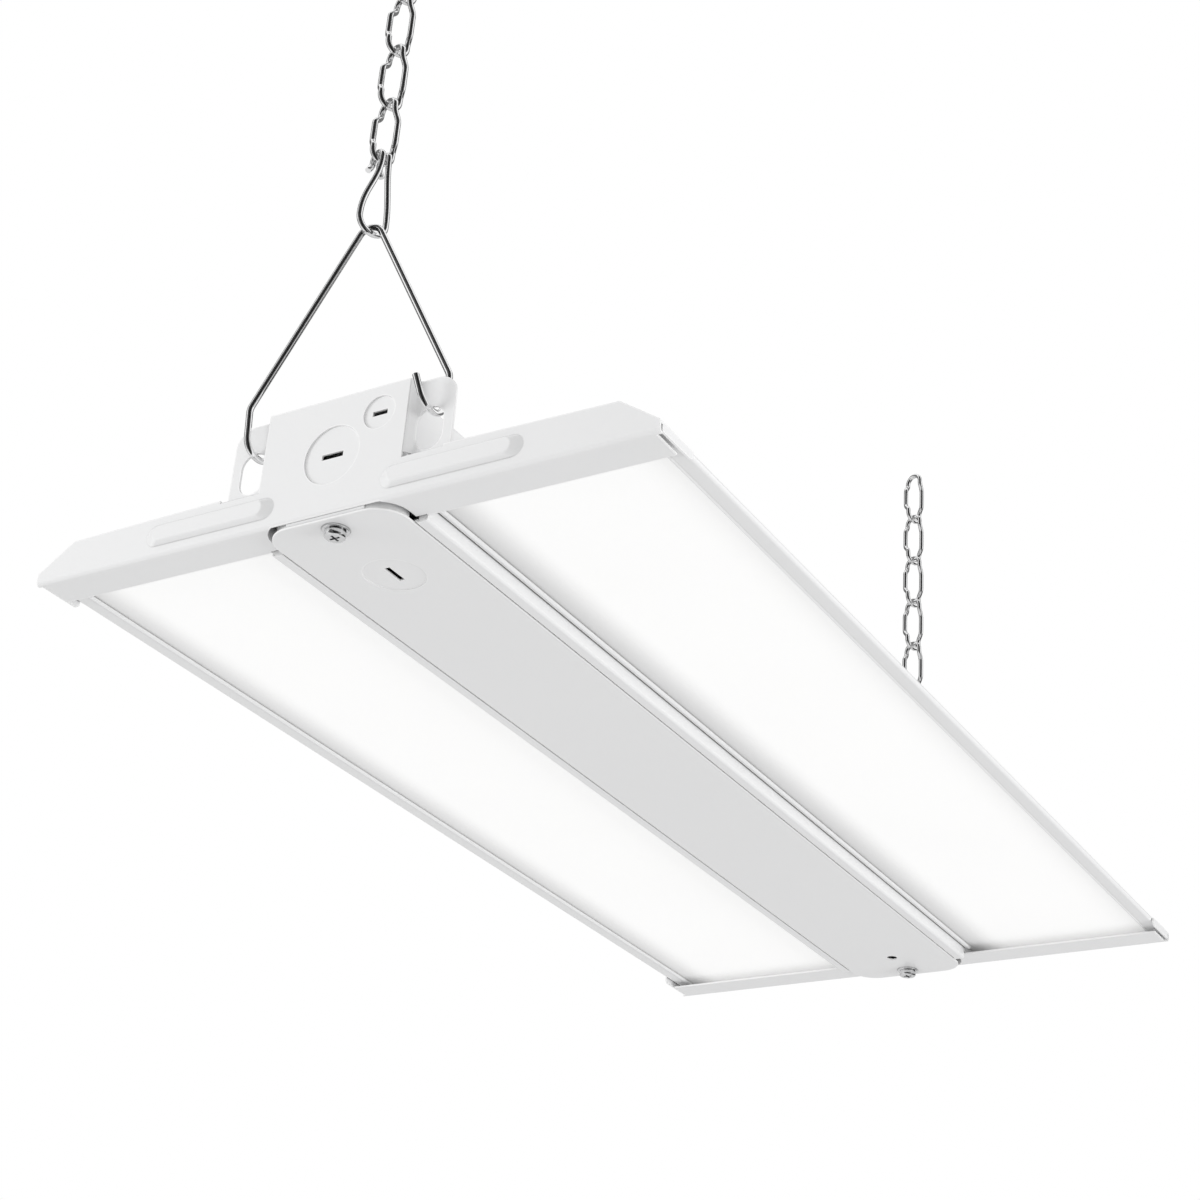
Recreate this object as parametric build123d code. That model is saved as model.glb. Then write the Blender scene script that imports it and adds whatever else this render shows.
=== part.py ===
"""Linear high bay light: folded sheet fixture with two lit trays, hung on two wire V hangers and chains."""
import os
from math import atan2, cos, pi, radians, sin, tan

from build123d import *

os.makedirs("parts", exist_ok=True)

# Overall fixture, z = 0 at the underside of the end plate lips, moved to the ceiling line at export
length = 610.0
width = 320.0
seat = 0.1
run_gap = 0.4

# End plates
plate_t = 1.0
plate_bend = 1.4
lip_depth = 18.5
side_edge_top = 5.5
side_slot = 1.4
side_neck = 1.2
side_flange_low = 1.2
side_flange_len = 27.0
side_flange_round = 2.5
wing_corner_y = 141.0
wing_corner_z = 18.5
wing_root_z = 20.0
tab_half = 37.0
tab_top = 57.5
ear_set = 4.6
ear_run = 2.6
ear_bend = 2.0
ear_reach = 21.0
ear_foot = 18.6
ear_foot_rise = 3.2
ear_foot_lap = 2.0
ear_foot_bend = 1.4
ear_round = 9.5
ear_hole_e = 9.3
ear_hole_w = 13.5
ear_hole_low = 22.8
ear_hole_high = 43.5
rib_inner_y = 27.5
rib_outer_y = 97.5
rib_z = 10.2
rib_half_h = 5.2
rib_rise = 2.4
rib_side = 1.5
rib_ramp = 5.0
rib_thin = 0.55
rib_round = 1.2
knock_step = 0.8
knock_lap = 0.15
big_knock_r = 14.2
big_knock_z = 29.0
big_slot = (11.0, 2.6)
small_knock_r = 8.0
small_knock_y = -22.5
small_knock_z = 44.5
small_slot = (7.6, 2.4)
cut_corner = 13.0
cut_play = 1.2

# Trays, lens rails, lenses
tray_t = 0.8
tray_bend = 1.0
tray_play = 0.3
rail_z = 4.0
rail_w = 8.0
hem_w = 4.0
bead_r = 1.0
side_wall_top = 6.2
roof_corner_y = 141.0
roof_top = 17.0
wall_y = 40.5
flange_z = -2.3
flange_in = 10.0
groove = 1.0
notch_x = 18.4
notch_top = 2.0
lip_rail_w = 2.6
lip_rail_leg = 3.0
lens_t = 2.0
lens_bite = 3.2
lens_end_gap = 0.6

# Driver housing, cover and brackets
house_half = 35.5
house_top = 54.0
house_foot = 15.0
house_rivet_y = 46.0
cover_t = 0.8
cover_half = 34.0
cover_inset = 0.8
cover_round = 14.0
cover_edge = 0.3
sensor_r = 14.0
sensor_x = 52.5
sensor_slot = (12.0, 2.8)
cover_hole_r = 3.1
cover_hole_x = 33.0
bracket_t = 1.0
bracket_half = 20.0
bracket_foot = 16.0
bracket_in = 1.4
bracket_leg = 13.5

# Fasteners
cover_screw_x = 9.7
screw_r = 2.0
screw_play = 0.25
washer_r = 6.0
washer_t = 1.0
head_r = 4.8
head_h = 3.0
head_round = 1.2
cross_len = 5.0
cross_w = 1.1
cross_deep = 1.4
nut_r = 3.9
nut_h = 3.0
rivet_r = 1.6
rivet_head_r = 3.2
rivet_head_h = 1.0
rivet_tail_r = 2.1
rivet_tail_h = 1.4
rivet_count = 5
rivet_end = 70.0
board_screw_r = 1.5
board_head_r = 2.8
board_head_h = 1.3
board_screw_tail = 1.2

# Light engines and driver
board_w = 22.0
board_t = 1.6
board_end = 25.0
board_rows = (70.0, 116.0)
led_w = 3.0
led_h = 0.7
led_count = 24
led_end = 14.0
board_screw_end = 10.0
board_screw_count = 4
connector_size = (12.0, 6.0, 4.2)
connector_end = 105.0
driver_size = (250.0, 62.0, 30.0)
driver_x = 20.0
driver_foot = 12.0
driver_foot_t = 1.5
driver_round = 2.0
driver_bolt_r = 2.0
driver_bolt_y = 20.0
terminal_size = (26.0, 30.0, 14.0)
terminal_end = 95.0
lead_r = 0.9
lead_bend = 5.0
lead_pitch = 3.0
lead_z = 10.4
grommet_r = 5.2
grommet_bore = 3.4
grommet_lip = 1.0
ground_end = 43.0
ground_y = 20.0

# Wire V hangers
v_wire = 3.0
v_hook_r = 7.0
v_bend_y = 48.0
v_bend_z = 63.0
v_peak_z = 157.9
v_peak_r = 6.0
v_bend_r = 7.0
v_tip_z = 55.0
v_tip_out = 2.5
v_tip_in = 3.5

# Chain and chain hooks
link_wire = 2.8
link_pitch = 32.0
link_half = 5.3
link_bend = 8.0
link_count = 5
twist_low = -18.0
twist_turn = -90.0
hook_len = 40.0
hook_half = 7.2
hook_neck = 1.8
hook_curl = 3.8
hook_rise = 0.55
hook_tail = 5.5
hook_splay = 2.0

half_l = length / 2
half_w = width / 2
inner_face = half_l - plate_t - seat
tray_end = inner_face
tray_half = half_w - plate_t - tray_play
board_len = length - 2 * board_end
board_screw_step = (board_len - 2 * board_screw_end) / (board_screw_count - 1)
board_screw_xs = [-board_len / 2 + board_screw_end + i * board_screw_step for i in range(board_screw_count)]
connector_x = half_l - connector_end
terminal_x = terminal_end - half_l
ground_x = ground_end - half_l


def block(x0, x1, y0, y1, z0, z1):
    return Pos((x0 + x1) / 2, (y0 + y1) / 2, (z0 + z1) / 2) * Box(x1 - x0, y1 - y0, z1 - z0)


def polygon(points):
    return make_face(Polyline(*points, close=True))


def corner_path(points, radii):
    """Edges of a polyline whose inner corners are rounded with the given radii."""
    pts = [Vector(*p) for p in points]
    edges, last = [], pts[0]
    for i in range(1, len(pts) - 1):
        a = (pts[i - 1] - pts[i]).normalized()
        b = (pts[i + 1] - pts[i]).normalized()
        half = radians(a.get_angle(b)) / 2
        out = (a + b).normalized()
        start = pts[i] + a * (radii[i - 1] / tan(half))
        end = pts[i] + b * (radii[i - 1] / tan(half))
        mid = pts[i] + out * (radii[i - 1] / sin(half) - radii[i - 1])
        if (start - last).length > seat / 10:
            edges.append(Line(last, start))
        edges.append(ThreePointArc(start, mid, end))
        last = end
    if (pts[-1] - last).length > seat / 10:
        edges.append(Line(last, pts[-1]))
    return edges


def strip(points, bend, t):
    """Closed face of a folded sheet: mid-line points, one mid bend radius, thickness."""
    pts = [Vector(p[0], p[1]) for p in points]
    sides = []
    for side in (t / 2, -t / 2):
        edges, last = [], None
        for i, p in enumerate(pts):
            if 0 < i < len(pts) - 1:
                a, b = (p - pts[i - 1]).normalized(), (pts[i + 1] - p).normalized()
                turn = atan2(a.X * b.Y - a.Y * b.X, a.X * b.X + a.Y * b.Y)
                cut = bend * tan(abs(turn) / 2)
                na, nb = Vector(-a.Y, a.X), Vector(-b.Y, b.X)
                start, end = p - a * cut + na * side, p + b * cut + nb * side
                centre = p - a * cut + na * (bend if turn > 0 else -bend)
                reach = bend - side if turn > 0 else bend + side
                mid = centre + ((start - centre).normalized() + (end - centre).normalized()).normalized() * reach
                edges.append(Line(last, start))
                edges.append(ThreePointArc(start, mid, end))
                last = end
            else:
                way = (pts[1] - p) if i == 0 else (p - pts[i - 1])
                n = Vector(-way.Y, way.X).normalized() * side
                if i:
                    edges.append(Line(last, p + n))
                last = p + n
        sides.append(edges)
    caps = [Line(sides[0][-1] @ 1, sides[1][-1] @ 1), Line(sides[1][0] @ 0, sides[0][0] @ 0)]
    return make_face(sides[0] + sides[1] + caps)


def along_x(face, x0, x1):
    return Pos(x0, 0, 0) * extrude(Plane.YZ * face, x1 - x0)


def along_y(face, y0, y1):
    return Pos(0, y1, 0) * extrude(Plane.XZ * face, y1 - y0)


def tube(edges, diameter):
    path = Wire(edges)
    return sweep(Plane(origin=path @ 0, z_dir=path % 0) * Circle(diameter / 2), path=path)


def rod_z(r, z0, z1, x=0.0, y=0.0):
    return Pos(x, y, (z0 + z1) / 2) * Cylinder(r, z1 - z0)


def rod_x(r, x0, x1, y=0.0, z=0.0):
    return Pos((x0 + x1) / 2, y, z) * Rot(0, 90, 0) * Cylinder(r, x1 - x0)


def rod_y(r, y0, y1, x=0.0, z=0.0):
    return Pos(x, (y0 + y1) / 2, z) * Rot(90, 0, 0) * Cylinder(r, y1 - y0)


def at_near(shape):
    return Pos(-half_l, 0, 0) * shape


def at_far(shape):
    return Rot(0, 0, 180) * at_near(shape)


def pan_screw(r, shank, big, tall, round_over):
    """Cross-recess pan head screw, head downwards, seat plane at z = 0, shank upwards."""
    head = rod_z(big, -tall, 0)
    head = fillet(head.edges().group_by(Axis.Z)[0], round_over)
    slot = block(-cross_len / 2, cross_len / 2, -cross_w / 2, cross_w / 2, -tall - seat, -tall + cross_deep)
    return head + rod_z(r, 0, shank) - slot - Rot(0, 0, 90) * slot


# Folded end plate, drawn at the near end with its outer face on x = 0
face_mid = plate_t / 2
ear_x = face_mid + ear_set
ear_end = tab_half + ear_reach
blank = along_y(strip([(lip_depth, face_mid), (face_mid, face_mid), (face_mid, tab_top)], plate_bend, plate_t),
                -half_w, half_w)
outline = polygon([
    (-half_w, 0), (half_w, 0), (half_w, side_edge_top), (wing_corner_y, wing_corner_z), (ear_end, wing_root_z),
    (ear_end, ear_foot), (tab_half, ear_foot), (tab_half, tab_top), (-tab_half, tab_top), (-tab_half, ear_foot),
    (-ear_end, ear_foot), (-ear_end, wing_root_z), (-wing_corner_y, wing_corner_z), (-half_w, side_edge_top)])
plate = blank & along_x(outline, 0, lip_depth)
lip_end = half_w - plate_t - side_slot
for side in (-1, 1):
    y0, y1 = sorted((side * lip_end, side * half_w))
    plate -= block(plate_t + plate_bend, lip_depth + seat, y0, y1, 0, plate_t)
    y0, y1 = sorted((side * (half_w - plate_t), side * half_w))
    flange = block(plate_t + side_slot, side_flange_len, y0, y1, side_flange_low, side_edge_top)
    far_edges = flange.edges().filter_by(Axis.Y).sort_by(Axis.X)[-2:]
    flange = fillet(far_edges.sort_by(Axis.Z)[0], side_flange_round)
    neck = block(face_mid, plate_t + side_slot + seat, y0, y1, side_edge_top - side_neck, side_edge_top)
    plate = plate + flange + neck

# Lip cut-out that clears the driver cover and channel
cut_half = cover_half + cut_play
cut = extrude(Pos((cover_inset - cut_play + lip_depth * 2) / 2, 0) * RectangleRounded(
    lip_depth * 2 - cover_inset + cut_play, cut_half * 2, cut_corner), plate_t * 3)
plate -= Pos(0, 0, -plate_t / 2) * (cut & block(plate_t, lip_depth * 2, -half_w, half_w, 0, plate_t * 3))
channel_y = wall_y + seat
for side in (-1, 1):
    y0, y1 = sorted((side * (cut_half - seat), side * channel_y))
    plate -= block(lip_depth - cut_play, lip_depth + seat, y0, y1, -seat, plate_t + seat)

# Stamped ribs pressed outwards, and half-sheared knockouts
rib_len = rib_outer_y - rib_inner_y
rib_mid = (rib_outer_y + rib_inner_y) / 2


def rib_ring(x, end_in, side_in):
    return Plane.YZ.offset(x) * Pos(rib_mid, rib_z) * SlotOverall(rib_len - 2 * end_in, 2 * (rib_half_h - side_in))


rib = loft([rib_ring(0, 0, 0), rib_ring(-rib_rise, rib_ramp, rib_side)])
rib = fillet(rib.edges().group_by(Axis.X)[0], rib_round)
hollow = loft([rib_ring(plate_t, rib_thin, rib_thin),
               rib_ring(plate_t - rib_rise, rib_ramp + rib_thin, rib_side + rib_thin)])
plate = plate + rib + mirror(rib, about=Plane.XZ)
plate = plate - hollow - mirror(hollow, about=Plane.XZ)
for r, y, z, slot in ((big_knock_r, 0, big_knock_z, big_slot),
                      (small_knock_r, small_knock_y, small_knock_z, small_slot)):
    plate -= rod_x(r, -seat, knock_step, y, z)
    plate += rod_x(r - knock_lap, knock_step, plate_t + knock_step, y, z)
    plate -= block(-seat, plate_t * 2, y - slot[0] / 2, y + slot[0] / 2, z - slot[1] / 2, z + slot[1] / 2)

# Ears drawn back behind the tab and wings by double bends, with the hanger holes
ear_plan = strip([(face_mid, tab_half - ear_bend), (face_mid, tab_half), (ear_x, tab_half + ear_run),
                  (ear_x, ear_end)], ear_bend, plate_t)
ear_low = ear_foot + ear_foot_rise
ear = Pos(0, 0, ear_low) * extrude(ear_plan, tab_top - ear_low)
foot_side = strip([(face_mid, ear_foot - ear_foot_lap), (face_mid, ear_foot), (ear_x, ear_low),
                   (ear_x, ear_low + ear_foot_lap)], ear_foot_bend, plate_t)
ear += along_y(foot_side, tab_half, ear_end)
corner = Pos(ear_end - ear_round / 2, tab_top - ear_round / 2) * Rectangle(ear_round, ear_round)
corner -= Pos(ear_end - ear_round, tab_top - ear_round) * Circle(ear_round)
hang_x = ear_x
hang_y = tab_half + ear_hole_e
hole = Pos(hang_y, (ear_hole_low + ear_hole_high) / 2) * SlotOverall(
    ear_hole_high - ear_hole_low, ear_hole_w, rotation=90)
ear -= along_x(corner, 0, 2 * ear_x)
ear -= along_x(hole, 0, 2 * ear_x)
plate = plate + ear + mirror(ear, about=Plane.XZ)

# Trays: hem, rail, side, slope, roof, channel wall and stepped channel flange in one folded sheet
m = tray_t / 2
groove_y = cover_half + groove
shelf_z = flange_z + tray_t
bead_z = rail_z + 2 * tray_t - bead_r
rail_mid = rail_z + m
tray_face = strip([
    (tray_half - rail_w, rail_mid), (tray_half - m, rail_mid), (tray_half - m, side_wall_top),
    (roof_corner_y, roof_top - m), (wall_y - m, roof_top - m), (wall_y - m, flange_z + m),
    (groove_y, flange_z + m)], tray_bend, tray_t)
hem_face = Pos(tray_half - rail_w + hem_w / 2, rail_z + tray_t + m) * Rectangle(hem_w, tray_t)
tray = along_x(tray_face, -tray_end, tray_end) + along_x(hem_face, -tray_end, tray_end)
tray += rod_x(bead_r, -tray_end, tray_end, tray_half - rail_w, bead_z)
tray += block(-tray_end, tray_end, wall_y - m - flange_in, groove_y + tray_t, shelf_z, shelf_z + tray_t)
for side in (-1, 1):
    x0, x1 = sorted((side * (half_l - notch_x), side * half_l))
    tray -= block(x0, x1, 0, wall_y + seat, flange_z - seat, notch_top)

# Lens rail angle on the channel wall, and the frosted lens
angle_mid = wall_y + seat + m
angle_face = strip([(angle_mid, rail_mid + lip_rail_leg), (angle_mid, rail_mid),
                    (wall_y + lip_rail_w, rail_mid)], tray_bend, tray_t)
lip_hem = Pos(wall_y + lip_rail_w - hem_w / 4, rail_z + tray_t + m) * Rectangle(hem_w / 2, tray_t)
rail_end = half_l - notch_x + cut_play
lens_rail = along_x(angle_face, -rail_end, rail_end) + along_x(lip_hem, -rail_end, rail_end)
lens_rail += rod_x(bead_r, -rail_end, rail_end, wall_y + lip_rail_w, bead_z)
lens_z = rail_z + 2 * tray_t + seat
lens_out = tray_half - rail_w + lens_bite
lens_end = tray_end - lens_end_gap
lens_in = wall_y + tray_t + 2 * seat + run_gap
lens = block(-lens_end, lens_end, lens_in, lens_out, lens_z, lens_z + lens_t)

# Light engines under the roof
board_top = roof_top - tray_t - seat
boards, leds, board_screws, connectors = [], [], [], []
for row in board_rows:
    board = block(-board_len / 2, board_len / 2, row - board_w / 2, row + board_w / 2, board_top - board_t, board_top)
    for x in board_screw_xs:
        board -= rod_z(board_screw_r + screw_play, 0, roof_top, x, row - board_w / 4)
        tray -= rod_z(board_screw_r + screw_play, board_top, roof_top + seat, x, row - board_w / 4)
        shank = board_t + tray_t + 2 * seat + board_screw_tail
        screw = rod_z(board_head_r, -board_head_h, 0) + rod_z(board_screw_r, 0, shank)
        board_screws.append(Pos(x, row - board_w / 4, board_top - board_t - seat) * screw)
    boards.append(board)
    step = (board_len - 2 * led_end) / (led_count - 1)
    led_top = board_top - board_t - seat / 2
    for i in range(led_count):
        x = -board_len / 2 + led_end + i * step
        leds.append(block(x - led_w / 2, x + led_w / 2, row + board_w / 8 - led_w / 2, row + board_w / 8 + led_w / 2,
                          led_top - led_h, led_top))
cl, cw, ch = connector_size
row = board_rows[0] - board_w / 4
connector = block(connector_x - cl / 2, connector_x + cl / 2, row - cw / 2, row + cw / 2,
                  board_top - board_t - seat - ch, board_top - board_t - seat)
connectors = [connector, mirror(connector, about=Plane.XZ)]

# Driver housing: one folded hat section riveted on the two roofs
house_mid = roof_top + seat + m
house_face = strip([
    (house_half + house_foot, house_mid), (house_half - m, house_mid), (house_half - m, house_top - m),
    (-house_half + m, house_top - m), (-house_half + m, house_mid), (-house_half - house_foot, house_mid)],
    tray_bend, tray_t)
housing = along_x(house_face, -inner_face, inner_face)
rivets = []
rivet_y = house_rivet_y
rivet_step = (length - 2 * rivet_end) / (rivet_count - 1)
for i in range(rivet_count):
    x = -half_l + rivet_end + i * rivet_step
    for side in (-1, 1):
        housing -= rod_z(rivet_r + screw_play, roof_top, roof_top + 2 * tray_t, x, side * rivet_y)
        top = roof_top + seat + tray_t + seat / 2
        low = roof_top - tray_t - seat / 2
        rivets.append(rod_z(rivet_head_r, top, top + rivet_head_h, x, side * rivet_y)
                      + rod_z(rivet_r, low, top, x, side * rivet_y)
                      + rod_z(rivet_tail_r, low - rivet_tail_h, low, x, side * rivet_y))
    tray -= rod_z(rivet_r + screw_play, roof_top - 2 * tray_t, roof_top + seat, x, rivet_y)

# Grommets in the channel walls and the leads that pass them
tray -= rod_y(grommet_r, wall_y - tray_t - seat, wall_y + seat, connector_x, lead_z)
grommet = rod_y(grommet_r - seat / 2, wall_y - tray_t - grommet_lip, wall_y, connector_x, lead_z)
grommet += rod_y(grommet_r + grommet_lip, wall_y - tray_t - grommet_lip - seat / 2, wall_y - tray_t - seat / 2,
                 connector_x, lead_z)
grommet -= rod_y(grommet_bore, wall_y - grommet_lip * 3, wall_y + seat, connector_x, lead_z)

# Driver with its mounting feet, terminal block and leads
dl, dw, dh = driver_size
drive_top = house_top - tray_t - seat
driver = block(-dl / 2, dl / 2, -dw / 2, dw / 2, drive_top - dh, drive_top)
driver = fillet(driver.edges().filter_by(Axis.X), driver_round)
foot_x = dl / 2 + driver_foot
driver_screws = []
for side in (-1, 1):
    x0, x1 = sorted((side * (dl / 2 - driver_foot), side * foot_x))
    driver += block(x0, x1, -dw / 2 + driver_round, dw / 2 - driver_round, drive_top - driver_foot_t, drive_top)
    for y in (-driver_bolt_y, driver_bolt_y):
        x = side * (foot_x - driver_foot / 2)
        driver -= rod_z(driver_bolt_r + screw_play, drive_top - driver_foot_t - seat, drive_top + seat, x, y)
        housing -= rod_z(driver_bolt_r + screw_play, drive_top, house_top + seat, x + driver_x, y)
        shank = driver_foot_t + 2 * seat + tray_t + board_screw_tail
        screw = rod_z(head_r, -head_h, 0) + rod_z(driver_bolt_r, 0, shank)
        driver_screws.append(Pos(x + driver_x, y, drive_top - driver_foot_t - seat) * screw)
driver = Pos(driver_x, 0, 0) * driver
tl, tw, th = terminal_size
terminal = block(terminal_x - tl / 2, terminal_x + tl / 2, -tw / 2, tw / 2, drive_top - th, drive_top)
lead_y = driver_bolt_y / 2
lead_from = driver_x + dl / 2 + seat
drive_z = drive_top - dh / 2
supply, outputs = [], []
for k in (-1, 0, 1):
    y = k * lead_pitch * 2
    route = [(driver_x - dl / 2 - seat, y, drive_z), (terminal_x + tl / 2 + lead_bend * 3, y, drive_z),
             (terminal_x + tl / 2 + lead_bend * 3, y, drive_top - th / 2), (terminal_x + tl / 2 + seat, y, drive_top - th / 2)]
    supply.append(tube(corner_path(route, [lead_bend] * 2), 2 * lead_r))
for k in (-1, 1):
    x = connector_x + k * lead_pitch / 2
    y = lead_y + k * lead_pitch / 2
    z = drive_z - k * lead_pitch / 2
    route = [(lead_from, y, z), (x, y, z), (x, y, lead_z), (x, row - cw / 2 - seat, lead_z)]
    outputs.append(tube(corner_path(route, [lead_bend] * 2), 2 * lead_r))

# Driver cover on the channel flanges, its end brackets, screws, washers and nuts
cover_low = shelf_z - seat - cover_t
cover_end = half_l - cover_inset
cover = Pos(0, 0, cover_low) * extrude(RectangleRounded(2 * cover_end, 2 * cover_half, cover_round), cover_t)
cover = fillet(cover.edges().group_by(Axis.Z)[0], cover_edge)
cover -= rod_z(sensor_r, cover_low - seat, cover_low + knock_step / 2, -half_l + sensor_x)
cover += rod_z(sensor_r - knock_lap, cover_low + knock_step / 2, cover_low + cover_t + knock_step / 2,
               -half_l + sensor_x)
sx, sy = sensor_slot
cover -= Pos(-half_l + sensor_x, 0, cover_low + cover_t / 2) * Box(sx, sy, cover_t * 3)
cover -= rod_z(cover_hole_r, cover_low - seat, cover_low + cover_t + seat, half_l - cover_hole_x)
for side in (-1, 1):
    cover -= rod_z(screw_r + screw_play, cover_low - seat, shelf_z, side * (half_l - cover_screw_x))
b = bracket_t / 2
bracket_x = plate_t + seat + b
bracket = along_y(strip([(bracket_foot, shelf_z + b), (bracket_x, shelf_z + b), (bracket_x, bracket_leg)],
                        plate_bend, bracket_t), -bracket_half, bracket_half)
foot_len = 2 * bracket_foot
foot = Pos(cover_inset + bracket_in + foot_len / 2, 0, shelf_z) * extrude(
    RectangleRounded(foot_len, 2 * (cover_half - bracket_in), cover_round - bracket_in), bracket_t)
bracket += foot & block(0, bracket_foot, -half_w, half_w, shelf_z, shelf_z + bracket_t)
bracket -= rod_z(screw_r + screw_play, shelf_z - seat, shelf_z + 2 * bracket_t, cover_screw_x)
washer_top = cover_low - seat / 2
washer = rod_z(washer_r, washer_top - washer_t, washer_top, cover_screw_x)
washer = fillet(washer.edges().group_by(Axis.Z)[0], washer_t / 3)
washer -= rod_z(screw_r + screw_play, washer_top - 2 * washer_t, washer_top + seat, cover_screw_x)
screw_seat = washer_top - washer_t - seat / 2
nut_low = shelf_z + bracket_t + seat / 2
cover_screw = Pos(cover_screw_x, 0, screw_seat) * pan_screw(
    screw_r, nut_low + nut_h - screw_seat, head_r, head_h, head_round)
nut = Pos(cover_screw_x, 0, nut_low) * extrude(RegularPolygon(nut_r, 6), nut_h)
nut -= rod_z(screw_r + seat / 2, nut_low - seat, nut_low + nut_h + seat, cover_screw_x)

# Ground screw on the roof of the housing
housing -= rod_z(screw_r + screw_play, drive_top, house_top + seat, ground_x, ground_y)
ground = Pos(ground_x, ground_y, drive_top) * pan_screw(screw_r, tray_t + seat + board_screw_tail, head_r, head_h,
                                                       head_round)

# Wire V hanger: opposite hooks, left tip behind its ear and right tip in front
hook_mid_z = ear_hole_high - run_gap - v_wire / 2
left_x, right_x = hang_x - v_hook_r, hang_x + v_hook_r
v_points = [
    (right_x + v_tip_out, hang_y - v_tip_in, v_tip_z), (right_x, hang_y, hook_mid_z), (left_x, hang_y, hook_mid_z),
    (left_x, v_bend_y, v_bend_z), (hang_x, 0, v_peak_z), (right_x, -v_bend_y, v_bend_z),
    (right_x, -hang_y, hook_mid_z), (left_x, -hang_y, hook_mid_z), (left_x - v_tip_out, -hang_y + v_tip_in, v_tip_z)]
turn_r = v_hook_r - seat * 2
v_radii = [turn_r, turn_r, v_bend_r, v_peak_r, v_bend_r, turn_r, turn_r]
v_edges = corner_path(v_points, v_radii)
hanger = tube(v_edges, v_wire)
peak_z = hanger.bounding_box().max.Z

# Chain hook: open loop under the V, two curled ends over the lowest link
low = radians(twist_low)
across = Vector(cos(low), sin(low), 0)
front = Vector(sin(low), -cos(low), 0)
rise = Vector(0, 0, 1)
axis_x = Vector(hang_x, 0, 0)
hook_low = peak_z - v_wire - run_gap - link_wire / 2
link_low = hook_low + hook_len
curl_z = link_low + hook_rise


def hook_side(s):
    neck = axis_x + across * (s * hook_neck) + rise * curl_z
    tail = axis_x + across * (s * (hook_neck + hook_splay)) - front * hook_curl + rise * (curl_z - hook_tail)
    wide = axis_x + across * (s * hook_half) + rise * (hook_low + hook_half)
    into = (tail - (neck - front * hook_curl)).normalized()
    return [
        Spline(tail, neck - front * hook_curl, tangents=[into * -1, rise]),
        ThreePointArc(neck - front * hook_curl, neck + rise * hook_curl, neck + front * hook_curl),
        Spline(neck + front * hook_curl, wide, tangents=[rise * -1, rise * -1])], wide


right_edges, right_wide = hook_side(1)
left_edges, left_wide = hook_side(-1)
bottom = ThreePointArc(right_wide, axis_x + rise * hook_low, left_wide)
left_back = [e.reversed() for e in reversed(left_edges)]
chain_hook = tube(right_edges + [bottom] + left_back, link_wire)

# Twisted chain link: straight sides between crowns a quarter turn apart, two swept halves joined at the crowns
link_high = link_pitch + link_wire + run_gap


def half_link(s):
    def spot(part, reach):
        a = radians(twist_low + twist_turn * part)
        return Vector(s * reach * cos(a), s * reach * sin(a), 0)

    bow = link_half * sin(pi / 4)
    dip = link_half - link_half * cos(pi / 4)
    start, top = spot(0, link_half) + rise * link_half, spot(1, link_half) + rise * (link_high - link_half)
    side = spot(1 / 2, link_half)
    side_low = side + rise * (link_half + link_bend)
    side_high = side + rise * (link_high - link_half - link_bend)
    edges = [ThreePointArc(Vector(0, 0, 0), spot(0, bow) + rise * dip, start),
             Spline(start, side_low, tangents=[rise, rise]),
             Line(side_low, side_high),
             Spline(side_high, top, tangents=[rise, rise]),
             ThreePointArc(top, spot(1, bow) + rise * (link_high - dip), rise * link_high)]
    return tube(edges, link_wire)


link = half_link(1) + half_link(-1)
hang_top = link_low + (link_count - 1) * link_pitch + link_high - link_wire / 2


def save(name, shape):
    solids = shape if isinstance(shape, list) else [shape]
    flat = [s for item in solids for s in item.solids()]
    moved = [Pos(0, 0, -hang_top) * s for s in flat]
    export_step(moved[0] if len(moved) == 1 else Compound(children=moved), f"parts/{name}.step")


def both(name, shape):
    items = shape if isinstance(shape, list) else [shape]
    save(f"left_{name}", items)
    save(f"right_{name}", [mirror(s, about=Plane.XZ) for s in items])


save("near_end_plate", at_near(plate))
save("far_end_plate", at_far(plate))
both("tray", tray)
both("lens_rail", lens_rail)
both("lens", lens)
both("led_boards", boards)
both("leds", leds)
save("board_screws", board_screws + [mirror(s, about=Plane.XZ) for s in board_screws])
save("board_connectors", connectors)
save("driver_housing", housing)
save("housing_rivets", rivets)
save("led_driver", driver)
save("driver_screws", driver_screws)
save("supply_terminal", terminal)
save("supply_leads", supply)
both("output_leads", outputs)
save("wall_grommets", [grommet, mirror(grommet, about=Plane.XZ)])
save("ground_screw", ground)
save("driver_cover", cover)
for end, place in (("near", at_near), ("far", at_far)):
    save(f"{end}_cover_bracket", place(bracket))
save("cover_screws", [at_near(cover_screw), at_far(cover_screw)])
save("cover_washers", [at_near(washer), at_far(washer)])
save("cover_nuts", [at_near(nut), at_far(nut)])
for end, place in (("near", at_near), ("far", at_far)):
    save(f"{end}_v_hanger", place(hanger))
    save(f"{end}_chain_hook", place(chain_hook))
    for i in range(link_count):
        save(f"{end}_link_{i + 1}", place(Pos(hang_x, 0, link_low + i * link_pitch) * link))

print("hang_top", round(hang_top, 3), "hang_x", round(hang_x, 3), "hang_y", round(hang_y, 3))
print("peak_z", round(peak_z, 3), "hook_low", round(hook_low, 3), "link_low", round(link_low, 3))
print("link_high", round(link_high, 3), "curl_z", round(curl_z, 3), "hook arc", round(hook_low + hook_half, 3))
print("hanger hook arc", round(hook_mid_z + turn_r, 3))
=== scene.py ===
import bmesh
import bpy
import numpy as np
from mathutils import Matrix, Vector


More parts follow.
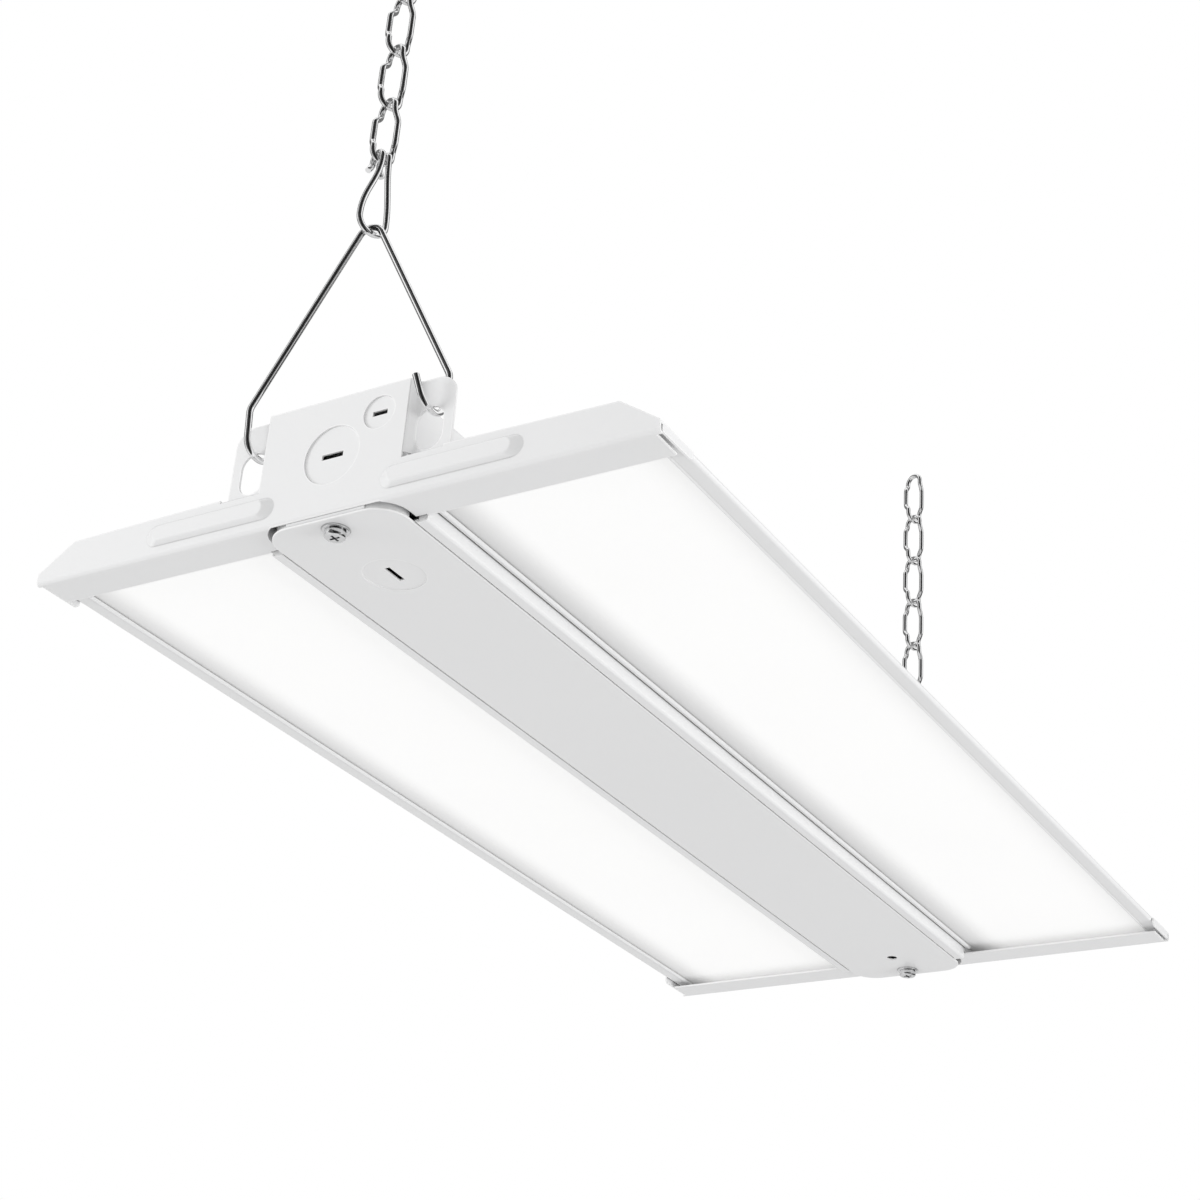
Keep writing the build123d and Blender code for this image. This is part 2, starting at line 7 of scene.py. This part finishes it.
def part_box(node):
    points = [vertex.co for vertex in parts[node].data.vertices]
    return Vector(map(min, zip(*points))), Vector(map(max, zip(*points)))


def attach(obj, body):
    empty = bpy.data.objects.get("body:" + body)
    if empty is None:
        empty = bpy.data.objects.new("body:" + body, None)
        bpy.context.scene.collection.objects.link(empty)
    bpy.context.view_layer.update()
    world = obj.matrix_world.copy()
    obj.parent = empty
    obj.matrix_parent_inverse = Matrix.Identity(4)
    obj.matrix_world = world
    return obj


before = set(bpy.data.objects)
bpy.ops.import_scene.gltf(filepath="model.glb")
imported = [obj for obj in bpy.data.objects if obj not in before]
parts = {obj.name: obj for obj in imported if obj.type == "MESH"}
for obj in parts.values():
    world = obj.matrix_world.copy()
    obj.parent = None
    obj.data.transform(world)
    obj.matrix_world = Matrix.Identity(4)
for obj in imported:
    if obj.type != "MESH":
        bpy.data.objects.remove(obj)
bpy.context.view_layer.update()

# The two trays: cold-rolled sheet, folded into an outer rail with a hem, a sloped side, a roof, a channel
# wall and a channel flange, then powder coated satin white. They hook into the end plates.
GRAIN_ROUGH = 0.55
FINE_DETAIL, DRIFT_DETAIL = 2.0, 3.0
EDGE_REACH = 0.0007
EDGE_RAYS = 8
# Painted shade in inner corners and a painted highlight on sheet edges: the AO level at which each is full, then
# the grey each takes the colour to.
PAINTED_SHADE_OPEN, PAINTED_HIGHLIGHT_OPEN = 0.55, 0.72
PAINTED_SHADE_GREY, PAINTED_HIGHLIGHT_GREY = 0.45, 0.97
ROUND_RAYS = 4
SHEET_EDGE = 0.00035


def new_finish(name):
    """A fresh node material, the calls that make and join its nodes, and its Principled shader."""
    finish = bpy.data.materials.new(name)
    finish.use_nodes = True
    tree = finish.node_tree
    return finish, tree.nodes.new, tree.links.new, tree.nodes["Principled BSDF"]


def dress(finish, *names):
    """Puts one finish into every material slot of the named solids."""
    for name in names:
        slots = parts[name].data.materials
        for index in range(len(slots)):
            slots[index] = finish
        if len(slots) == 0:
            slots.append(finish)


def new_group(name):
    """An empty shader node group, the calls that make and join its nodes, and its face of sockets."""
    group = bpy.data.node_groups.new(name, "ShaderNodeTree")
    return group, group.nodes.new, group.links.new, group.interface


def grain_group(name, fine_per_m, drift_per_m):
    """Fine grain height and slow drift: two noises on Object coordinates, one at grain size, one much wider."""
    group, make, join, face = new_group(name)
    for label, value in (("Fine per metre", fine_per_m), ("Drift per metre", drift_per_m)):
        face.new_socket(label, in_out="INPUT", socket_type="NodeSocketFloat").default_value = value
    for label in ("Height", "Drift"):
        face.new_socket(label, in_out="OUTPUT", socket_type="NodeSocketFloat")
    given, out, place = make("NodeGroupInput"), make("NodeGroupOutput"), make("ShaderNodeTexCoord")
    for label, source, detail in (("Height", "Fine per metre", FINE_DETAIL),
                                  ("Drift", "Drift per metre", DRIFT_DETAIL)):
        noise = make("ShaderNodeTexNoise")
        noise.inputs["Detail"].default_value = detail
        noise.inputs["Roughness"].default_value = GRAIN_ROUGH
        join(place.outputs["Object"], noise.inputs["Vector"])
        join(given.outputs[source], noise.inputs["Scale"])
        join(noise.outputs["Fac"], out.inputs[label])
    return group


def painted_shade_and_highlight_group(name, reach):
    """Masks for painted shade in inner corners and a painted highlight on sheet edges: rays out of the surface
    find the first, rays into it the second.
    """
    group, make, join, face = new_group(name)
    face.new_socket("Reach", in_out="INPUT", socket_type="NodeSocketFloat").default_value = reach
    given, out = make("NodeGroupInput"), make("NodeGroupOutput")
    for label, inward, open_side in (("Painted shade in corners", False, PAINTED_SHADE_OPEN), ("Painted highlight on edges", True, PAINTED_HIGHLIGHT_OPEN)):
        face.new_socket(label, in_out="OUTPUT", socket_type="NodeSocketFloat")
        feel = make("ShaderNodeAmbientOcclusion")
        feel.samples = EDGE_RAYS
        feel.inside = inward
        feel.only_local = inward
        spread = make("ShaderNodeMapRange")
        spread.inputs["From Min"].default_value = 1.0
        spread.inputs["From Max"].default_value = open_side
        join(given.outputs["Reach"], feel.inputs["Distance"])
        join(feel.outputs["AO"], spread.inputs["Value"])
        join(spread.outputs["Result"], out.inputs[label])
    return group


grain = grain_group("coat_grain", 900.0, 9.0)
edges = painted_shade_and_highlight_group("painted_corner_shade_and_edge_highlight", EDGE_REACH)


def between(make, join, share, first, second):
    """A colour between two, by a share from 0 to 1. Each is a colour, or another node's output."""
    mix = make("ShaderNodeMix")
    mix.data_type = "RGBA"
    join(share, mix.inputs["Factor"])
    for side, tint in (("A", first), ("B", second)):
        if isinstance(tint, bpy.types.NodeSocket):
            join(tint, mix.inputs[side])
        else:
            mix.inputs[side].default_value = (*tint, 1.0)
    return mix.outputs["Result"]


def placed_grain(make, fine, drift):
    """The grain group set into a material, with that material's own scales."""
    source = make("ShaderNodeGroup")
    source.node_tree = grain
    source.inputs["Fine per metre"].default_value = fine
    source.inputs["Drift per metre"].default_value = drift
    return source


def grained(name, low, high, rough, fine, drift, bump, edge=0.0):
    """A finish whose colour and gloss drift between two values, with the grain as bump.

    With an edge radius, sheet edges are softly rounded in the normal, inner corners get painted shade and edges
    get a painted highlight.
    """
    finish, make, join, shader = new_finish(name)
    source = placed_grain(make, fine, drift)
    tint = between(make, join, source.outputs["Drift"], low, high)
    gloss = make("ShaderNodeMapRange")
    gloss.inputs["To Min"].default_value, gloss.inputs["To Max"].default_value = rough
    relief = make("ShaderNodeBump")
    relief.inputs["Strength"].default_value = 1.0
    relief.inputs["Distance"].default_value = bump
    join(source.outputs["Drift"], gloss.inputs["Value"])
    join(gloss.outputs["Result"], shader.inputs["Roughness"])
    join(source.outputs["Height"], relief.inputs["Height"])
    join(relief.outputs["Normal"], shader.inputs["Normal"])
    if edge:
        round_off = make("ShaderNodeBevel")
        round_off.samples = ROUND_RAYS
        round_off.inputs["Radius"].default_value = edge
        join(round_off.outputs["Normal"], relief.inputs["Normal"])
        # Painted shade darkens the colour in inner corners and a painted highlight lightens it along sheet edges.
        shade_and_highlight_node = make("ShaderNodeGroup")
        shade_and_highlight_node.node_tree = edges
        for mark, shade in (("Painted shade in corners", PAINTED_SHADE_GREY), ("Painted highlight on edges", PAINTED_HIGHLIGHT_GREY)):
            tint = between(make, join, shade_and_highlight_node.outputs[mark], tint, (shade, shade, shade))
    join(tint, shader.inputs["Base Color"])
    return finish, shader


# The powder coat carries the painted corner shade and the painted edge highlight, by its sheet edge radius.
powder_white, coat = grained("powder_white", (0.862, 0.864, 0.868), (0.892, 0.892, 0.894), (0.36, 0.44),
                             1100.0, 7.0, 0.000012, SHEET_EDGE)
coat.inputs["Specular IOR Level"].default_value = 0.4
coat.inputs["Coat Weight"].default_value = 0.5
coat.inputs["Coat Roughness"].default_value = 0.18
dress(powder_white, "left_tray", "right_tray")

# The two end plates: one stamping each, with lip, wings, tab, ears, pressed ribs and half-sheared knockouts,
# in the same coat as the trays. They close the trays at both ends.
dress(powder_white, "near_end_plate", "far_end_plate")

# The driver housing: a folded sheet hat in the same coat, riveted over the channel between the trays.
# Its blind rivets are plain aluminium.
dress(powder_white, "driver_housing")
rivet_metal, rivet_shader = grained("rivet_aluminium", (0.70, 0.71, 0.72), (0.80, 0.80, 0.81), (0.30, 0.42),
                                    1500.0, 60.0, 0.000008)
rivet_shader.inputs["Metallic"].default_value = 1.0
dress(rivet_metal, "housing_rivets")

# The LED boards: metal-core boards under white solder mask, with rows of yellow phosphor packages,
# screwed under the roofs of the trays. Their screws are bright zinc, their connectors moulded white.
mask_white, _ = grained("solder_mask", (0.84, 0.85, 0.84), (0.90, 0.91, 0.90), (0.32, 0.45),
                        700.0, 20.0, 0.00001)
phosphor, _ = grained("phosphor_face", (0.86, 0.70, 0.25), (0.93, 0.80, 0.38), (0.28, 0.40),
                      2500.0, 120.0, 0.00001)
bright_zinc, zinc = grained("bright_zinc", (0.74, 0.745, 0.75), (0.90, 0.90, 0.905), (0.12, 0.22),
                            1800.0, 220.0, 0.000004)
zinc.inputs["Metallic"].default_value = 1.0
moulded_white, _ = grained("moulded_white", (0.82, 0.82, 0.79), (0.88, 0.88, 0.86), (0.42, 0.55),
                           1400.0, 40.0, 0.00002)
dress(mask_white, "left_led_boards", "right_led_boards")
dress(phosphor, "left_leds", "right_leds")
dress(bright_zinc, "board_screws")
dress(moulded_white, "board_connectors")

# The driver and its wiring: a potted case screwed to the housing's roof, a terminal for the supply,
# insulated leads that pass the channel walls in rubber grommets, and a green earth screw.
case_grey, _ = grained("potted_case", (0.74, 0.74, 0.75), (0.80, 0.80, 0.81), (0.45, 0.60),
                       1300.0, 25.0, 0.00002)
lead_black, _ = grained("lead_insulation", (0.02, 0.02, 0.022), (0.045, 0.045, 0.048), (0.40, 0.55),
                        2000.0, 90.0, 0.00001)
grommet_rubber, _ = grained("grommet_rubber", (0.02, 0.02, 0.02), (0.04, 0.04, 0.04), (0.60, 0.75),
                            1600.0, 80.0, 0.00002)
earth_green, _ = grained("earth_green", (0.03, 0.20, 0.07), (0.06, 0.30, 0.11), (0.28, 0.40),
                         1800.0, 150.0, 0.00001)
dress(case_grey, "led_driver")
dress(bright_zinc, "driver_screws")
dress(moulded_white, "supply_terminal")
dress(lead_black, "supply_leads", "left_output_leads", "right_output_leads")
dress(grommet_rubber, "wall_grommets")
dress(earth_green, "ground_screw")

# The lenses: frosted sheet, slid into the trays and held along the channel by an angle in the same coat.
# Each glows by emission, a painted glow in place of the light of the LEDs behind it, which don't emit. The glow
# falls off towards its edges as painted shade: deepest at each lens's +Y edge, shaded by the outer rail on the
# left lens and by the channel on the right lens, and less at the ends under the lips; part of the falloff is the
# lesser LED light near the edges.
# Reach and level of the painted shade at the glow's side edges and ends, then the painted glow's tint and
# strength.
SIDE_SHADE_REACH = 0.024
END_SHADE_REACH = 0.014
END_SHADE_LEVEL = 0.75
TINT_OF_PAINTED_GLOW = (1.0, 0.998, 0.99)
STRENGTH_OF_PAINTED_GLOW = 0.40
FROST_LOW, FROST_HIGH = (0.69, 0.69, 0.69), (0.72, 0.72, 0.72)
dress(powder_white, "left_lens_rail", "right_lens_rail")


def frosted(name, node, left_edge_shade, right_edge_shade):
    """Frosted sheet with a painted glow that falls off smoothly to a level at each edge, by distance in Object
    coordinates; the falloff is painted shade.
    """
    finish, make, join, shader = new_finish(name)
    low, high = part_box(node)
    place = make("ShaderNodeTexCoord")
    split = make("ShaderNodeSeparateXYZ")
    join(place.outputs["Object"], split.inputs["Vector"])
    # Each edge's smooth falloff is painted shade; their product dims the painted glow.
    glow_share = None
    for axis, edge, inward, reach, level in (("Y", high[1], -1, SIDE_SHADE_REACH, left_edge_shade),
                                             ("Y", low[1], 1, SIDE_SHADE_REACH, right_edge_shade),
                                             ("X", low[0], 1, END_SHADE_REACH, END_SHADE_LEVEL),
                                             ("X", high[0], -1, END_SHADE_REACH, END_SHADE_LEVEL)):
        edge_shade_ramp = make("ShaderNodeMapRange")
        edge_shade_ramp.interpolation_type = "SMOOTHSTEP"
        edge_shade_ramp.inputs["From Min"].default_value = edge
        edge_shade_ramp.inputs["From Max"].default_value = edge + inward * reach
        edge_shade_ramp.inputs["To Min"].default_value = level
        edge_shade_ramp.inputs["To Max"].default_value = 1.0
        join(split.outputs[axis], edge_shade_ramp.inputs["Value"])
        if glow_share is None:
            glow_share = edge_shade_ramp.outputs["Result"]
            continue
        times = make("ShaderNodeMath")
        times.operation = "MULTIPLY"
        join(glow_share, times.inputs[0])
        join(edge_shade_ramp.outputs["Result"], times.inputs[1])
        glow_share = times.outputs["Value"]
    join(between(make, join, glow_share, (0.0, 0.0, 0.0), TINT_OF_PAINTED_GLOW), shader.inputs["Emission Color"])
    shader.inputs["Emission Strength"].default_value = STRENGTH_OF_PAINTED_GLOW
    source = placed_grain(make, 1600.0, 12.0)
    relief = make("ShaderNodeBump")
    relief.inputs["Distance"].default_value = 0.00001
    join(between(make, join, source.outputs["Drift"], FROST_LOW, FROST_HIGH), shader.inputs["Base Color"])
    join(source.outputs["Height"], relief.inputs["Height"])
    join(relief.outputs["Normal"], shader.inputs["Normal"])
    shader.inputs["Roughness"].default_value = 0.5
    shader.inputs["Specular IOR Level"].default_value = 0.3
    return finish


# Painted shade levels at each lens's +Y and -Y edge: deep at the +Y edge, where the outer rail shades the left
# lens and the channel shades the right one.
dress(frosted("left_lens_glow_painted_shade", "left_lens", 0.25, 0.92), "left_lens")
dress(frosted("right_lens_glow_painted_shade", "right_lens", 0.12, 0.85), "right_lens")

# The driver cover: a flat sheet with rounded corners and a knockout for a sensor, screwed up to two brackets
# inside the channel. Screws, washers and nuts are bright zinc.
dress(powder_white, "driver_cover", "near_cover_bracket", "far_cover_bracket")
dress(bright_zinc, "cover_screws", "cover_washers", "cover_nuts")

# The folds behind the cover's ends: the lip's cut-out and the edge of each bracket's foot are pressed up round the
# cover's corners, and the end of each channel flange is turned up behind the lip. All are the same coated sheet.
scene = bpy.context.scene
RAIL_IN = 0.0172            # from the end plate's face to the lens rail's end
LIP_SHEET = 0.001
LIP_ROUND = 0.013
LIP_CENTRE = (0.0126, 0.0222)
LIP_STRAIGHT = 0.0046
LIP_FIRST_DEG = 152.0
RETURN_SHEET = 0.0008
RETURN_TALL = 0.006
BRACKET_SHEET = 0.001
RIM_SHEET = 0.0008
RIM_ROUND = 0.0126
RIM_FIRST_DEG = 180.0
RIM_BEHIND = 0.0011
RIM_TALL = 0.006
ARC_LAST_DEG = 90.0
ARC_POINTS = 25
FLANGE_SHEET = 0.0008
TAB_SHEET = 0.0008
TAB_BEHIND = 0.00125
TAB_OUTLINE = np.array(((0.0359, 0.00002), (0.0387, 0.00002), (0.0394, 0.00035), (0.0396, 0.001),
                        (0.0396, 0.0039), (0.0359, 0.0039)))


def folded(name, rings):
    """A closed strip of sheet: each ring of points is joined to the next by quads, and both ends are capped."""
    count, across = rings.shape[:2]
    ring, point = np.meshgrid(np.arange(count - 1), np.arange(across), indexing="ij")
    after = (point + 1) % across
    quads = np.stack((ring * across + point, ring * across + after,
                      (ring + 1) * across + after, (ring + 1) * across + point), axis=-1).reshape(-1, 4)
    caps = [list(range(across)), list(range((count - 1) * across, count * across))]
    mesh = bpy.data.meshes.new(name)
    mesh.from_pydata(rings.reshape(-1, 3).tolist(), [], quads.tolist() + caps)
    shell = bmesh.new()
    shell.from_mesh(mesh)
    bmesh.ops.recalc_face_normals(shell, faces=shell.faces)
    shell.to_mesh(mesh)
    shell.free()
    mesh.materials.append(powder_white)
    piece = bpy.data.objects.new(name, mesh)
    scene.collection.objects.link(piece)
    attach(piece, "fixture")


def corner_wall(name, first_deg, straight, outer, inner, tall, place, turn):
    """A low wall round a corner: an arc and a short straight, at an outer and an inner radius, carried up."""
    bow = np.radians(np.linspace(first_deg, ARC_LAST_DEG, ARC_POINTS))
    outward = np.vstack((np.column_stack((np.cos(bow), np.sin(bow))), (0.0, 1.0)))
    along = np.zeros(outward.shape)
    along[-1, 0] = straight
    rows = [np.column_stack((along + radius * outward, np.full(len(outward), height)))
            for radius, height in ((outer, 0.0), (outer, tall), (inner, tall), (inner, 0.0))]
    folded(name, np.stack(rows, axis=1) * turn + place)


flange_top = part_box("left_tray")[0][2] + FLANGE_SHEET
for end, near_side, inward in (("near", 0, 1.0), ("far", 1, -1.0)):
    foot = np.array(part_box(f"{end}_cover_bracket"))
    plate = np.array(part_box(f"{end}_end_plate"))
    rail_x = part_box("left_lens_rail")[near_side][0]
    lip_x = rail_x + inward * (LIP_CENTRE[0] - RAIL_IN)
    rim_x = foot[near_side][0] + inward * (RIM_BEHIND + RIM_ROUND)
    rim_y = foot[1][1] - RIM_ROUND
    rim_straight = abs(foot[1 - near_side][0] - rim_x)
    tab_x = rail_x + inward * TAB_BEHIND
    for hand, side in (("left", 1.0), ("right", -1.0)):
        turn = (inward, side, 1.0)
        corner_wall(f"{end}_{hand}_lip_return", LIP_FIRST_DEG, LIP_STRAIGHT, LIP_ROUND + RETURN_SHEET, LIP_ROUND,
                    RETURN_TALL, (lip_x, side * LIP_CENTRE[1], plate[0][2] + LIP_SHEET), turn)
        corner_wall(f"{end}_{hand}_bracket_rim", RIM_FIRST_DEG, rim_straight, RIM_ROUND, RIM_ROUND - RIM_SHEET,
                    RIM_TALL, (rim_x, side * rim_y, foot[0][2] + BRACKET_SHEET), turn)
        sheets = [np.column_stack((np.full(len(TAB_OUTLINE), x), TAB_OUTLINE * (side, 1.0)))
                  for x in (tab_x, tab_x + inward * TAB_SHEET)]
        folded(f"{end}_{hand}_flange_tab", np.stack(sheets) + (0.0, 0.0, flange_top))

# The hangers: two wire V hangers hooked in the ears, a chain hook on each peak and five twisted links above it.
# All are drawn steel wire, bent cold and plated bright.
HUNG = ("v_hanger", "chain_hook", "link_1", "link_2", "link_3", "link_4", "link_5")
bright_wire, wire = grained("bright_wire", (0.86, 0.862, 0.866), (0.95, 0.95, 0.95), (0.05, 0.11),
                            500.0, 40.0, 0.0000015)
wire.inputs["Metallic"].default_value = 1.0
dress(bright_wire, *[f"{end}_{piece}" for end in ("near", "far") for piece in HUNG])

# The floor: a wide sheet of pale matt paint, well below the fixture and the camera.
# It isn't part of the fixture.
FLOOR_Z = -2.6
FLOOR_HALF = 60.0
FLOOR_GREY = 0.81
FLOOR_ROUGH = 0.9


def matt_stage(name, points, faces, grey, rough):
    """A stage sheet of the given points and faces, in one plain matt grey."""
    mesh = bpy.data.meshes.new(name)
    mesh.from_pydata(points, [], faces)
    paint, _, _, shader = new_finish(f"{name}_paint")
    shader.inputs["Base Color"].default_value = (grey, grey, grey, 1.0)
    shader.inputs["Roughness"].default_value = rough
    mesh.materials.append(paint)
    sheet = bpy.data.objects.new(name, mesh)
    scene.collection.objects.link(sheet)
    return sheet


matt_stage("floor", [(x * FLOOR_HALF, y * FLOOR_HALF, FLOOR_Z) for x, y in ((-1, -1), (1, -1), (1, 1), (-1, 1))],
           [(0, 1, 2, 3)], FLOOR_GREY, FLOOR_ROUGH)

# The flags: dark cloths round the fixture that only reflections see, so that the bright wire has dark lines.
# Each is a sector of an open drum: first and last bearing, grey, then its rows of radius and height.
FLAG_STEPS = 25
TALL = ((0.5, -2.57), (2.6, -2.57), (2.6, 8.0))
LOW = ((0.5, -2.57), (2.6, -2.57), (2.6, -0.4))
SHORT = ((2.6, -0.4), (2.6, 3.3))
FLAGS = (("flag_behind", 192.0, 240.0, 0.008, TALL),
         ("flag_behind_left", 150.0, 192.0, 0.09, TALL),
         ("flag_behind_right", 240.0, 268.0, 0.14, TALL),
         ("flag_low_right", 288.0, 345.0, 0.03, LOW),
         ("flag_beyond", 318.0, 482.0, 0.20, SHORT))
for name, first, last, grey, rows in FLAGS:
    bearing = np.radians(np.linspace(first, last, FLAG_STEPS))
    rim = np.stack([np.column_stack((radius * np.cos(bearing), radius * np.sin(bearing), np.full(FLAG_STEPS, z)))
                    for radius, z in rows])
    row, step = np.meshgrid(np.arange(len(rows) - 1), np.arange(FLAG_STEPS - 1), indexing="ij")
    start = (row * FLAG_STEPS + step).ravel()
    quads = np.stack((start, start + 1, start + FLAG_STEPS + 1, start + FLAG_STEPS), axis=1)
    flag = matt_stage(name, rim.reshape(-1, 3).tolist(), quads.tolist(), grey, 1.0)
    flag.visible_camera = flag.visible_diffuse = flag.visible_shadow = flag.visible_transmission = False

# The light: an even white sky, seen as plain white by the camera, by reflections and through clear pieces,
# and two soft lamps, one on each side of the near end.
SKY_LEVEL = 0.78
SEEN_LEVEL = 1.0
WHITE = (1.0, 1.0, 1.0, 1.0)
world = bpy.data.worlds.new("studio")
scene.world = world
world.use_nodes = True
tree = world.node_tree
light = tree.nodes["Background"]
seen = tree.nodes.new("ShaderNodeBackground")
for shade, level in ((light, SKY_LEVEL), (seen, SEEN_LEVEL)):
    shade.inputs["Color"].default_value = WHITE
    shade.inputs["Strength"].default_value = level
ray = tree.nodes.new("ShaderNodeLightPath")
either = tree.nodes.new("ShaderNodeMath")
any_seen = tree.nodes.new("ShaderNodeMath")
either.operation = any_seen.operation = "MAXIMUM"
choose = tree.nodes.new("ShaderNodeMixShader")
tree.links.new(ray.outputs["Is Camera Ray"], either.inputs[0])
tree.links.new(ray.outputs["Is Glossy Ray"], either.inputs[1])
tree.links.new(either.outputs["Value"], any_seen.inputs[0])
tree.links.new(ray.outputs["Is Transmission Ray"], any_seen.inputs[1])
tree.links.new(any_seen.outputs["Value"], choose.inputs["Fac"])
tree.links.new(light.outputs["Background"], choose.inputs[1])
tree.links.new(seen.outputs["Background"], choose.inputs[2])
tree.links.new(choose.outputs["Shader"], tree.nodes["World Output"].inputs["Surface"])

LAMP_SIZE = 1.4
LAMPS = (("left_lamp", (-2.05, 2.7, -0.25), (-0.3, 0.0, -0.32), 46.0),
         ("right_lamp", (0.4, -2.6, -0.75), (0.0, 0.0, -0.35), 30.0))
for name, spot, target, power in LAMPS:
    lamp_data = bpy.data.lights.new(name, "AREA")
    lamp_data.size = LAMP_SIZE
    lamp_data.energy = power
    lamp = bpy.data.objects.new(name, lamp_data)
    lamp.location = spot
    lamp.rotation_euler = (Vector(target) - Vector(spot)).to_track_quat("-Z", "Y").to_euler()
    lamp.visible_camera = lamp.visible_glossy = False
    scene.collection.objects.link(lamp)

# The camera: below the near right corner, looking up along the fixture, as in the photograph.
LENS_MM = 68.939
SENSOR_MM = 36.0
CAMERA_AT = (-0.9449, -0.546, -0.8144)
CAMERA_RIGHT = Vector((0.50443, -0.86069, 0.06906))
CAMERA_UP = Vector((-0.43149, -0.18199, 0.88357))
CAMERA_AHEAD = Vector((0.74791, 0.4755, 0.46318))
camera_data = bpy.data.cameras.new("camera")
camera_data.sensor_width = SENSOR_MM
camera_data.lens = LENS_MM
camera = bpy.data.objects.new("camera", camera_data)
camera_turn = Matrix((CAMERA_RIGHT, CAMERA_UP, -CAMERA_AHEAD)).transposed().to_4x4()
camera.matrix_world = Matrix.Translation(CAMERA_AT) @ camera_turn
scene.collection.objects.link(camera)
scene.camera = camera
scene.view_settings.view_transform = "Standard"
